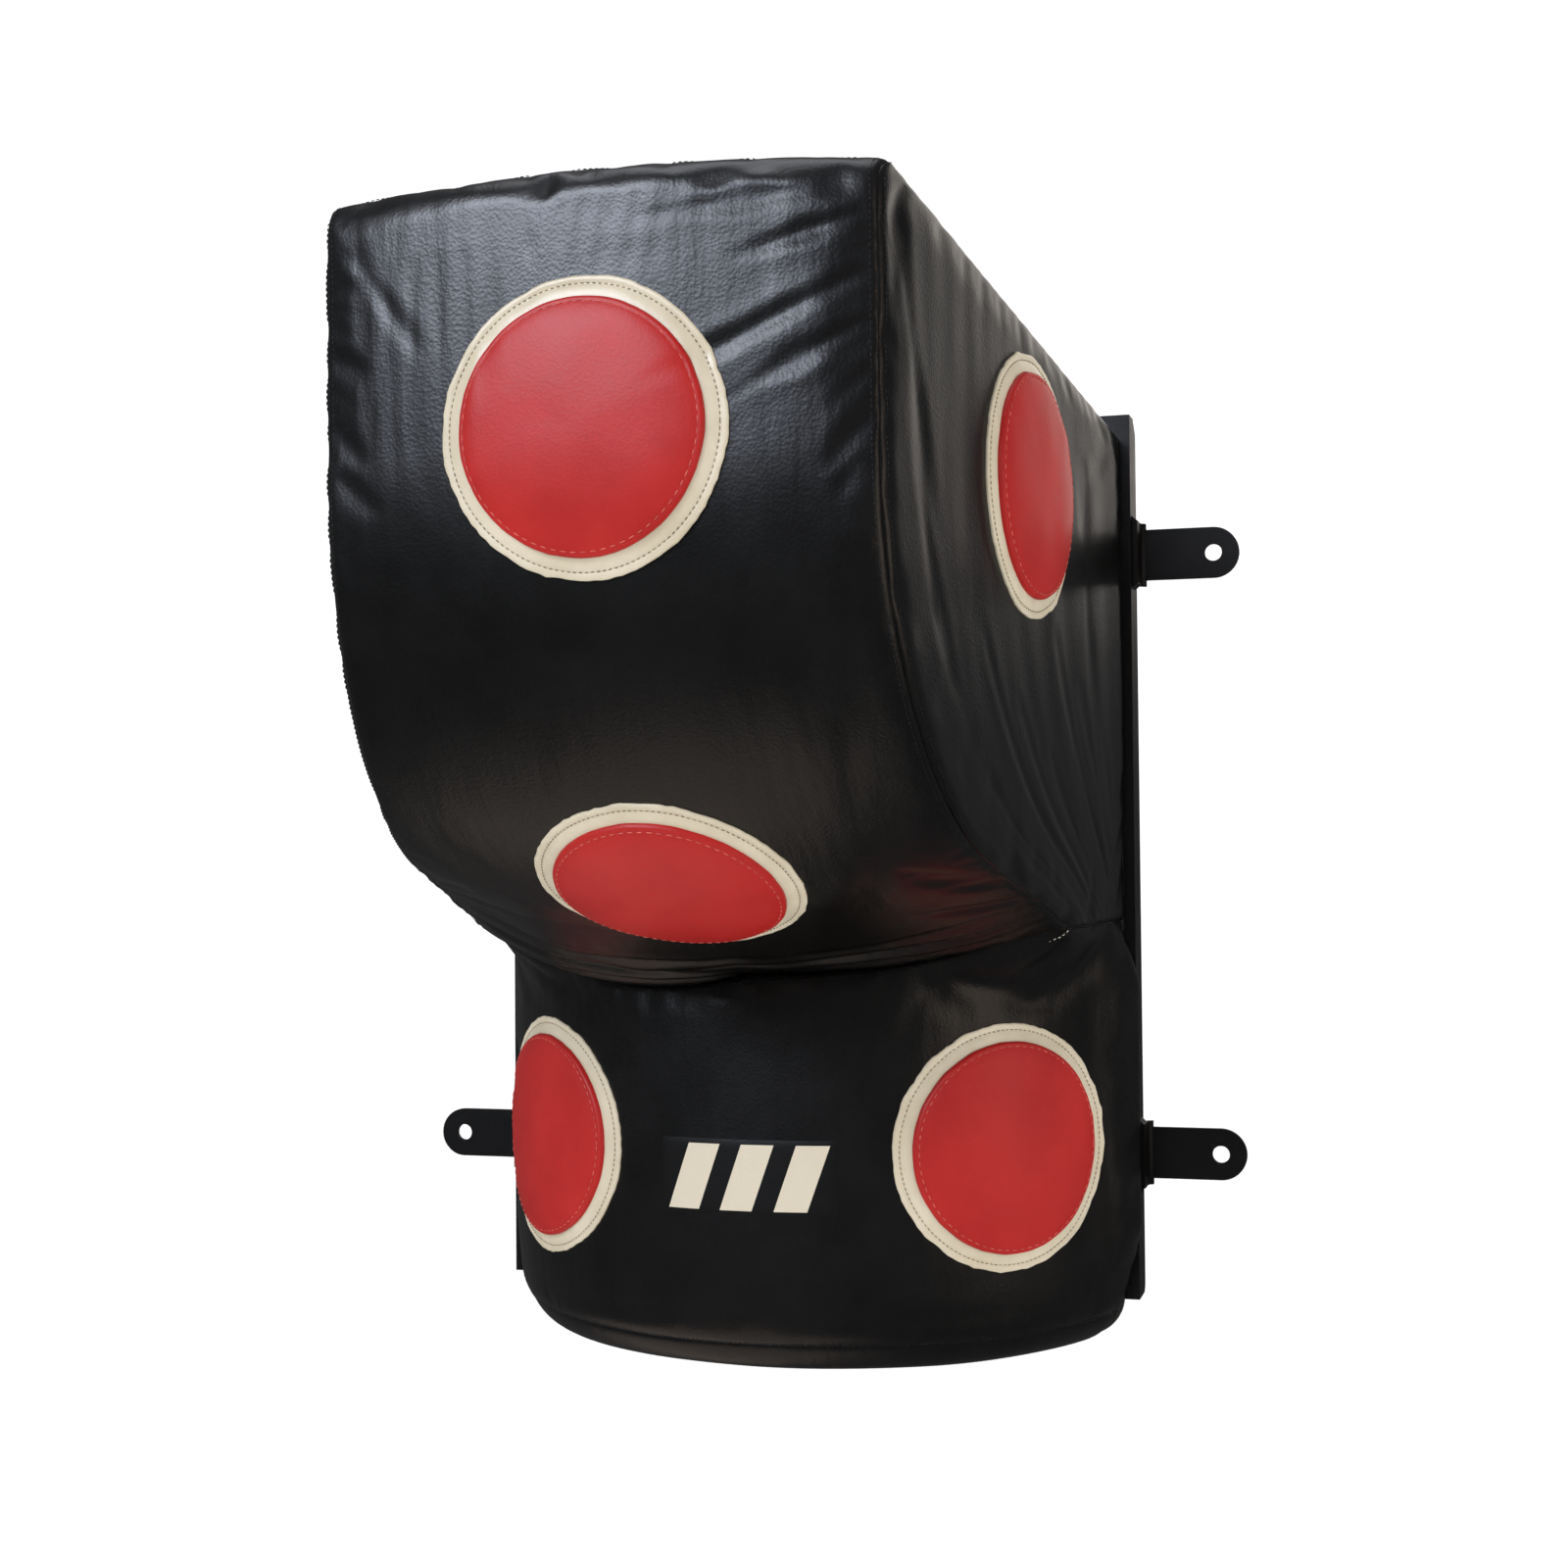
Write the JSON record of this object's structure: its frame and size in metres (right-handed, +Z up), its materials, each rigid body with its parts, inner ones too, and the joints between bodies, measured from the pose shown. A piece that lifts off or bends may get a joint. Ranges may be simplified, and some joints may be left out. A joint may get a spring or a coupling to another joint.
{
  "type": "wall-mounted uppercut bag",
  "caption": "Overhanging padded striking bag in a stitched black cover with round red targets, on a steel frame with wall ears.",
  "frame": {"origin": "centre of the four wall holes, in the plane of the wall", "axes": "+Y into the wall, so the boxer stands at -Y; +Z up; +X to the boxer's right"},
  "size_m": [0.765, 0.6215, 0.8918],
  "materials": {
    "frame_paint": "satin",
    "zinc": "satin",
    "plywood": "matte",
    "cover": "satin",
    "target_red": "satin",
    "target_cream": "satin",
    "foam_dense": "matte",
    "foam_soft": "matte"
  },
  "bodies": {
    "root": {"upright_left": "frame_paint", "upright_right": "frame_paint", "rail_top": "frame_paint", "rail_middle": "frame_paint", "rail_bottom": "frame_paint", "wall_ear_top_left": "frame_paint", "wall_ear_top_right": "frame_paint", "wall_ear_bottom_left": "frame_paint", "wall_ear_bottom_right": "frame_paint", "ear_welds": "frame_paint", "board_bolts": "zinc", "board_washers": "zinc", "board_nuts": "zinc", "hem_staples": "zinc", "back_board": "plywood", "cover_front_panel": "cover", "cover_top_panel": "cover", "cover_side_panel_left": "cover", "cover_side_panel_right": "cover", "cover_lower_wrap": "cover", "cover_bottom_panel": "cover", "cover_hem": "cover", "label_patch": "target_cream", "upper_strike_foam": "foam_dense", "lower_strike_foam": "foam_dense", "upper_core": "foam_soft", "lower_core": "foam_soft", "front_target_base": "target_cream", "front_target_foam": "foam_dense", "front_target_skin": "target_red", "belly_target_base": "target_cream", "belly_target_foam": "foam_dense", "belly_target_skin": "target_red", "side_target_left_base": "target_cream", "side_target_left_foam": "foam_dense", "side_target_left_skin": "target_red", "side_target_right_base": "target_cream", "side_target_right_foam": "foam_dense", "side_target_right_skin": "target_red", "lower_target_left_base": "target_cream", "lower_target_left_foam": "foam_dense", "lower_target_left_skin": "target_red", "lower_target_right_base": "target_cream", "lower_target_right_foam": "foam_dense", "lower_target_right_skin": "target_red"}
  },
  "joints": []
}
